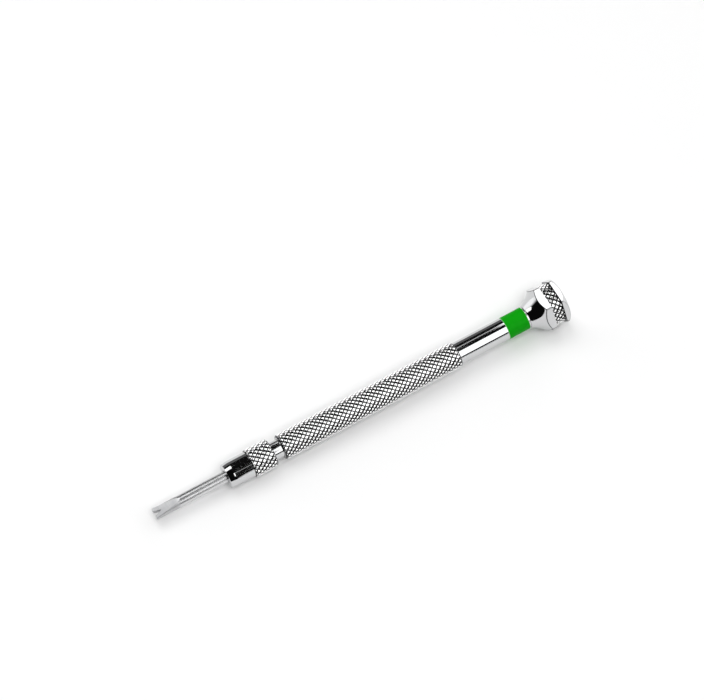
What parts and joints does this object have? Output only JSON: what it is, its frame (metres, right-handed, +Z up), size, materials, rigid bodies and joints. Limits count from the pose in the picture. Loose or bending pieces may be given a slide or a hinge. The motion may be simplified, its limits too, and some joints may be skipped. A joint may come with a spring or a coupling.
{
  "type": "watchmaker screwdriver",
  "caption": "Watchmaker's fork-tipped hand driver with collet chuck, knurled grip, colour ring and free-turning hexagonal head.",
  "frame": {"origin": "middle of the tool's length and width, on the plane under the head's lower flat", "axes": "+X from the fork tip to the swivel head along the tool's axis, +Z up from the head's lower flat"},
  "size_m": [0.1054, 0.0116, 0.01],
  "materials": {
    "polished_chrome": "bright chrome plating, diamond knurl on the gripped bands",
    "blade_steel": "fine ground tool steel",
    "spring_steel": "hardened steel, lightly oiled",
    "collet_brass": "turned brass",
    "green_ring": "glossy green plastic"
  },
  "bodies": {
    "handle": {"handle": "polished_chrome", "chuck_stem": "polished_chrome", "colour_ring": "green_ring", "thrust_washer": "blade_steel", "pivot_screw": "spring_steel", "disc_spring": "spring_steel", "bearing_ball": "spring_steel"},
    "head": {"swivel_head": "polished_chrome", "pivot_bush": "collet_brass", "finger_rest": "polished_chrome"},
    "collet": {"collet": "collet_brass"},
    "nut": {"chuck_nut": "polished_chrome", "collet_ring": "spring_steel"},
    "blade": {"fork_blade": "blade_steel"}
  },
  "joints": [
    {"name": "head_swivel", "type": "hinge", "parent": "handle", "child": "head", "pos_m": [0.04625, 0, 0.00502], "axis": [1, 0, 0], "continuous": true},
    {"name": "nut_turn", "type": "hinge", "parent": "collet", "child": "nut", "pos_m": [-0.02875, 0, 0.00502], "axis": [1, 0, 0], "range_deg": [-1441, 0]},
    {"name": "collet_travel", "type": "slide", "parent": "handle", "child": "collet", "axis": [-1, 0, 0], "range_m": [0, 0.002]},
    {"name": "blade_pull", "type": "slide", "parent": "collet", "child": "blade", "axis": [-1, 0, 0], "range_m": [0, 0.012]}
  ],
  "couplings": [
    {"joint": "nut_turn", "follows": "collet_travel", "rad_per_m": -12566}
  ]
}
